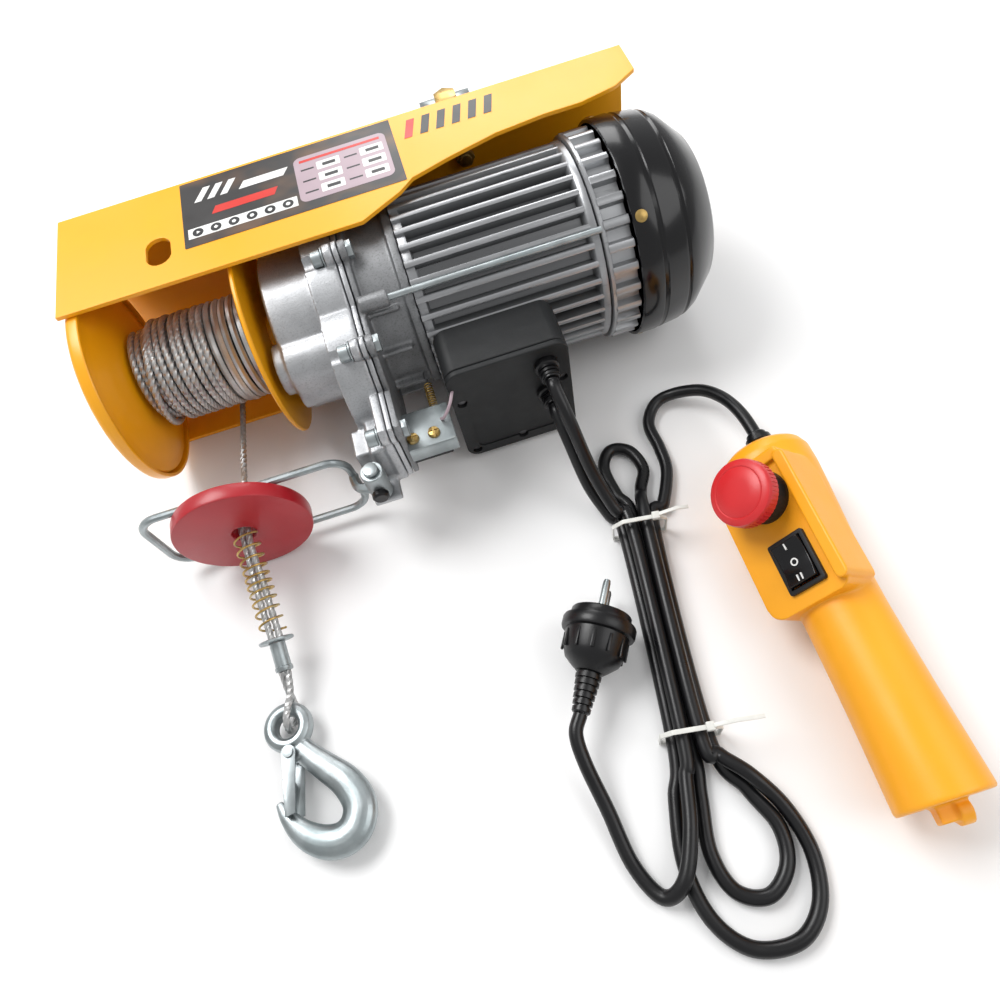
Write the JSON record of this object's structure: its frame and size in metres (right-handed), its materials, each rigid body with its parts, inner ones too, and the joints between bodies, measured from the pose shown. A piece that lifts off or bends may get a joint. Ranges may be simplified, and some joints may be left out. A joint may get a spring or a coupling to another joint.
{
  "type": "electric wire rope hoist",
  "caption": "Compact electric wire rope hoist: channel frame, rope drum, gear case, ribbed motor, limit lever with disc, swivel-free hook, and a pendant with emergency stop on a long cord.",
  "frame": {"origin": "centre of the outer face of the back plate, on the surface that the hoist lies on", "axes": "+X runs along the drum and motor axis from the drum to the fan cover, +Y points from the hook towards the mounting web, +Z out of the back plate"},
  "size_m": [0.4296, 0.5813, 0.15],
  "materials": {
    "yellow_paint": "gloss yellow enamel on sheet steel",
    "red_paint": "gloss red powder coat",
    "cast_aluminium": "sand-blasted pressure die casting",
    "zinc_steel": "bright bluish zinc plate",
    "yellow_zinc": "yellow passivated zinc plate",
    "wire_rope": "galvanised stranded steel wire",
    "core_iron": "laminated or machined iron, oiled",
    "winding": "varnished copper winding on laminations",
    "box_plastic": "fine textured black plastic",
    "gloss_black": "glossy black moulding",
    "cord_rubber": "smooth black cord sheath",
    "pendant_plastic": "satin orange-yellow moulding",
    "button_red": "satin red moulding",
    "white_plastic": "white plastic"
  },
  "bodies": {
    "frame": {"channel_frame": "yellow_paint", "end_plate": "yellow_paint", "bearing_bush": "zinc_steel", "beam_bracket": "zinc_steel", "beam_bolt": "yellow_zinc", "bracket_screw_1": "yellow_zinc", "bracket_screw_2": "yellow_zinc", "gear_case": "cast_aluminium", "motor_shield": "cast_aluminium", "case_bolt_1": "zinc_steel", "case_bolt_2": "zinc_steel", "case_bolt_3": "zinc_steel", "motor_body": "cast_aluminium", "rear_shield": "cast_aluminium", "tie_rod": "zinc_steel", "stator": "winding", "fan_cover": "gloss_black", "control_box": "box_plastic", "box_lid": "box_plastic", "capacitor": "white_plastic", "gland_1": "cord_rubber", "gland_2": "cord_rubber", "switch_bracket": "zinc_steel", "limit_switch": "box_plastic", "return_spring": "yellow_zinc", "lever_pin": "zinc_steel", "pendant_shell": "pendant_plastic", "estop_collar": "box_plastic", "rocker_bezel": "box_plastic", "pendant_gland": "cord_rubber", "control_cord": "cord_rubber", "power_cord": "cord_rubber", "cable_tie_1": "white_plastic", "cable_tie_2": "white_plastic", "plug_body": "cord_rubber", "plug_pin_1": "zinc_steel", "plug_pin_2": "zinc_steel"},
    "drum": {"drum": "yellow_paint", "rope_winding": "wire_rope", "drum_shaft": "zinc_steel", "output_gear": "core_iron"},
    "counter": {"countershaft": "zinc_steel", "counter_gear": "core_iron"},
    "rotor": {"rotor_shaft": "zinc_steel", "rotor_core": "core_iron", "fan": "box_plastic"},
    "lever": {"limit_lever": "zinc_steel", "lever_bumper": "cord_rubber"},
    "hook_fall": {"rope_fall": "wire_rope", "rope_tail": "wire_rope", "stop_spring": "yellow_zinc", "stop_washer": "yellow_zinc", "rope_ferrule": "core_iron", "rope_loop": "wire_rope"},
    "disc": {"limit_disc": "red_paint"},
    "hook": {"hook": "zinc_steel", "latch_pin": "zinc_steel"},
    "latch": {"hook_latch": "zinc_steel"},
    "estop": {"estop_button": "button_red"},
    "rocker": {"rocker": "gloss_black"}
  },
  "joints": [
    {"name": "drum_spin", "type": "hinge", "parent": "frame", "child": "drum", "pos_m": [-0.138, -0.04, 0.075], "axis": [1, 0, 0], "range_deg": [0, 412]},
    {"name": "counter_spin", "type": "hinge", "parent": "frame", "child": "counter", "pos_m": [-0.038, -0.088, 0.075], "axis": [1, 0, 0], "range_deg": [-1800, 0]},
    {"name": "rotor_spin", "type": "hinge", "parent": "frame", "child": "rotor", "pos_m": [0.082, -0.04, 0.075], "axis": [1, 0, 0], "range_deg": [0, 9700]},
    {"name": "hook_travel", "type": "slide", "parent": "frame", "child": "hook_fall", "axis": [0, -1, 0], "range_m": [0, 0.25], "deforming": ["rope_fall"]},
    {"name": "disc_slide", "type": "slide", "parent": "hook_fall", "child": "disc", "axis": [0, -1, 0], "range_m": [0, 0.008], "stiffness_N_per_m": 600, "deforming": ["stop_spring"]},
    {"name": "lever_swing", "type": "hinge", "parent": "frame", "child": "lever", "pos_m": [-0.04, -0.172, 0.059], "axis": [0, 0, -1], "range_deg": [0, 8], "stiffness_Nm_per_rad": 2},
    {"name": "hook_swing", "type": "hinge", "parent": "hook_fall", "child": "hook", "pos_m": [-0.1354, -0.295, 0.012], "axis": [0, 0, 1], "range_deg": [-25, 25]},
    {"name": "latch_open", "type": "hinge", "parent": "hook", "child": "latch", "pos_m": [-0.135, -0.312, 0.012], "axis": [0, 0, 1], "range_deg": [0, 32], "stiffness_Nm_per_rad": 0.02},
    {"name": "estop_press", "type": "slide", "parent": "frame", "child": "estop", "axis": [0.7071, 0, -0.7071], "range_m": [0, 0.006], "stiffness_N_per_m": 800},
    {"name": "rocker_tilt", "type": "hinge", "parent": "frame", "child": "rocker", "pos_m": [0.18208, -0.306, 0.05292], "axis": [0.7071, 0, 0.7071], "range_deg": [-10, 10], "stiffness_Nm_per_rad": 0.3}
  ],
  "couplings": [
    {"joint": "counter_spin", "follows": "drum_spin", "ratio": -4.3333},
    {"joint": "rotor_spin", "follows": "drum_spin", "ratio": 23.4},
    {"joint": "hook_travel", "follows": "drum_spin", "m_per_rad": 0.0345}
  ]
}
